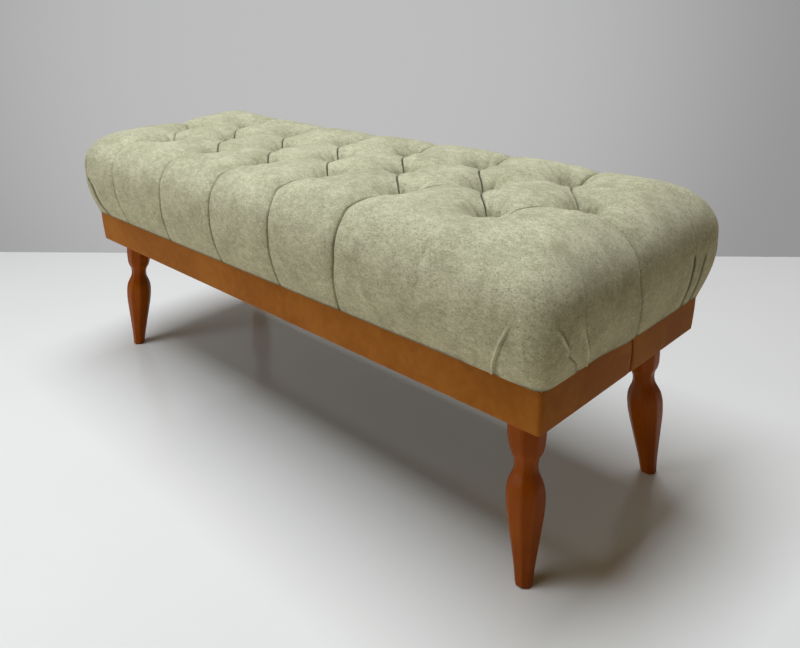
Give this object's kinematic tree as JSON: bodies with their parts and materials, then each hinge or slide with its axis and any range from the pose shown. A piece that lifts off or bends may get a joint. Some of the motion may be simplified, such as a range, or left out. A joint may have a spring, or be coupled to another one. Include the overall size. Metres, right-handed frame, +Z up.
{
  "type": "upholstered bench",
  "caption": "Long bench with a deep diamond-tufted cushion, a thin wrapped apron band and splayed eight-sided turned wooden legs.",
  "frame": {"origin": "on the floor, under the middle of the bench", "axes": "+X along the bench towards the end with the band's seam, +Y across it from the front to the back, +Z up"},
  "size_m": [1.15, 0.442, 0.485],
  "materials": {
    "seat_fabric": "heathered pile",
    "apron_skin": "satin",
    "leg_wood": "stained and lacquered, satin",
    "frame_wood": "bare planed",
    "board_wood": "bare plywood",
    "dust_cloth": "matt black",
    "foam": "open foam",
    "fastening_steel": "zinc plated",
    "twine": "waxed twine"
  },
  "bodies": {
    "root": {"seat_cover": "seat_fabric", "apron_band": "apron_skin", "leg_front_left": "leg_wood", "leg_front_right": "leg_wood", "leg_back_left": "leg_wood", "leg_back_right": "leg_wood", "front_rail": "frame_wood", "back_rail": "frame_wood", "left_rail": "frame_wood", "right_rail": "frame_wood", "cross_rail_left": "frame_wood", "cross_rail_right": "frame_wood", "corner_block_front_left": "frame_wood", "corner_block_front_right": "frame_wood", "corner_block_back_left": "frame_wood", "corner_block_back_right": "frame_wood", "leg_wedge_front_left": "frame_wood", "leg_wedge_front_right": "frame_wood", "leg_wedge_back_left": "frame_wood", "leg_wedge_back_right": "frame_wood", "seat_board": "board_wood", "dust_cover": "dust_cloth", "foam_pad": "foam", "leg_insert_front_left": "fastening_steel", "leg_insert_front_right": "fastening_steel", "leg_insert_back_left": "fastening_steel", "leg_insert_back_right": "fastening_steel", "leg_bolt_front_left": "fastening_steel", "leg_bolt_front_right": "fastening_steel", "leg_bolt_back_left": "fastening_steel", "leg_bolt_back_right": "fastening_steel", "wedge_screw_1_front_left": "fastening_steel", "wedge_screw_1_front_right": "fastening_steel", "wedge_screw_1_back_left": "fastening_steel", "wedge_screw_1_back_right": "fastening_steel", "wedge_screw_2_front_left": "fastening_steel", "wedge_screw_2_front_right": "fastening_steel", "wedge_screw_2_back_left": "fastening_steel", "wedge_screw_2_back_right": "fastening_steel", "tuft_tie_front_1": "twine", "tuft_tie_front_2": "twine", "tuft_tie_front_3": "twine", "tuft_tie_front_4": "twine", "tuft_tie_front_5": "twine", "tuft_tie_front_6": "twine", "tuft_tie_middle_1": "twine", "tuft_tie_middle_2": "twine", "tuft_tie_middle_3": "twine", "tuft_tie_middle_4": "twine", "tuft_tie_middle_5": "twine", "tuft_tie_middle_6": "twine", "tuft_tie_middle_7": "twine", "tuft_tie_back_1": "twine", "tuft_tie_back_2": "twine", "tuft_tie_back_3": "twine", "tuft_tie_back_4": "twine", "tuft_tie_back_5": "twine", "tuft_tie_back_6": "twine"}
  },
  "joints": []
}
